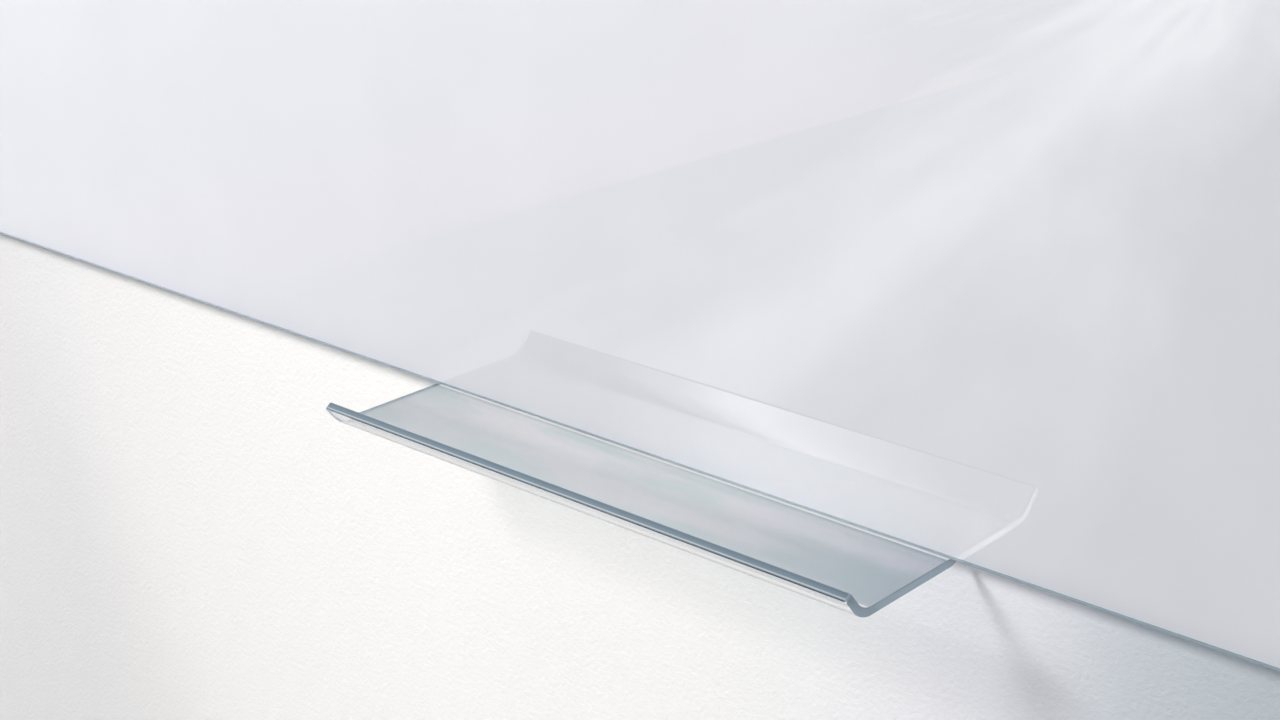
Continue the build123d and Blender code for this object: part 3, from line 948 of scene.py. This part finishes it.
strength = add(tree, "Math", {0: fading, 1: DAYLIGHT_STRENGTH}, operation="MULTIPLY")
mirrored = add(tree, "Emission", {"Color": fan_tone.outputs[2], "Strength": strength})

THROUGH_TRAY_LEFT, THROUGH_TRAY_RIGHT = radians(48.0), radians(28.2)
THROUGH_TRAY_STRENGTH = 5.0
TRAY_MIDDLE = Vector((0.0, -0.04, -0.36))
to_tray = add(tree, "VectorMath", {0: TRAY_MIDDLE - Vector(FAN_START), 1: place}, operation="SUBTRACT")
steps = add(tree, "SeparateXYZ", {"Vector": to_tray})
bearing = add(tree, "Math", {0: steps.outputs["X"], 1: steps.outputs["Y"]}, operation="ARCTAN2")
share = add(tree, "MapRange", {"Value": bearing, "From Min": THROUGH_TRAY_LEFT,
                               "From Max": THROUGH_TRAY_RIGHT})
beam = add(tree, "ValToRGB", {"Fac": share},
           stops=[(0.0, "#060606"), (0.15, "#242527"), (0.25, "#38393B"), (0.32, "#8A8B8F"),
                  (0.39, "#A5A6AB"), (0.48, "#E6E7EA"), (0.54, "#FCFCFF"), (0.61, "#E3E4E8"),
                  (0.70, "#CDCED3"), (0.83, "#A8A9AE"), (0.945, "#8A8B90")])
through_tray = add(tree, "Emission", {"Color": beam, "Strength": THROUGH_TRAY_STRENGTH})
bent_by_tray = add(tree, "LightPath").outputs["Is Transmission Ray"]
show(tree, add(tree, "MixShader", {0: bent_by_tray, 1: mirrored, 2: through_tray}))

panel = stage_plane("mirrored_daylight", [(-FAN_REACH, 0, 0), (FAN_REACH, 0, 0), (FAN_REACH, FAN_REACH, 0),
                                          (-FAN_REACH, FAN_REACH, 0)], daylight, FAN_START)
hide_from(panel, "camera", "diffuse", "shadow")
print("daylight fans out from", FAN_START)

# %% [markdown]
# ## A bright card for the mirrored tray
#
# The tray's own mirror image in the pane shows the cut edge of its right end as a light line. That
# edge mirrors a lit patch of floor, off to the right, that the camera can't see directly. The
# patch becomes a glowing card that only mirror rays meet.

# %% Card
PATCH_STRENGTH = 140.0
PATCH_PLACE = (1.25, -1.90, FLOOR_HEIGHT + 0.02)
PATCH_REACH = 0.9
CLOUDS_PER_METRE = 2.0

lit_patch, tree, place = start_finish("lit_patch")
unevenness = add(tree, "TexNoise", {"Vector": place, "Scale": CLOUDS_PER_METRE, "Detail": 1.0})
tone = add(tree, "ValToRGB", {"Fac": unevenness}, stops=[(0.3, "#F4F6FA"), (0.7, "#FFFFFF")])
show(tree, add(tree, "Emission", {"Color": tone, "Strength": PATCH_STRENGTH}))
card = stage_plane("lit_patch", level_square(PATCH_REACH), lit_patch, PATCH_PLACE)
hide_from(card, "camera", "diffuse", "transmission", "shadow")
print("a glowing patch of floor", 2 * PATCH_REACH, "metres wide, strength", PATCH_STRENGTH)

# %% [markdown]
# ## Light
#
# A softbox 2.6 metres off, high on the left, throws the tray's faint shadow down to the right, and
# a bright, even room does the rest. The room's strength and the softbox together light a white
# surface to just under white, so that colours come out about as they are written. Mirror rays
# miss the softbox, or the pane would show it as a bare white square when seen from below.

# %% Lamps and room
ROOM_STRENGTH = 0.40
KEY_SIZE = 0.6
KEY_POWER = 50.7
KEY_COLOUR = "#FFFDF8"

softbox = bpy.data.lights.new("key", "AREA")
softbox.size = KEY_SIZE
softbox.energy = KEY_POWER
softbox.color = linear(KEY_COLOUR)[:3]
key = bpy.data.objects.new("key", softbox)
key.location = KEY_PLACE
key.rotation_euler = (KEY_TARGET - KEY_PLACE).to_track_quat("-Z", "Y").to_euler()
bpy.context.scene.collection.objects.link(key)
hide_from(key, "glossy")

world = bpy.data.worlds.new("room")
bpy.context.scene.world = world
world.use_nodes = True
world.node_tree.nodes.clear()
room = world.node_tree
soft = add(room, "Background", {"Color": linear("#F4F6FA"), "Strength": ROOM_STRENGTH})
white = add(room, "Background", {"Color": linear("#F7F8FA")})
path = add(room, "LightPath")
seen = add(room, "Math", {0: path.outputs["Is Camera Ray"], 1: path.outputs["Is Transmission Ray"]},
           operation="MAXIMUM")
seen_or_mirrored = add(room, "Math", {0: seen, 1: path.outputs["Is Glossy Ray"]}, operation="MAXIMUM")
add(room, "OutputWorld", {"Surface": add(room, "MixShader", {0: seen_or_mirrored, 1: soft, 2: white})})
bpy.context.scene.view_settings.view_transform = "Standard"
print("key lamp stands at", [round(value, 2) for value in key.location])
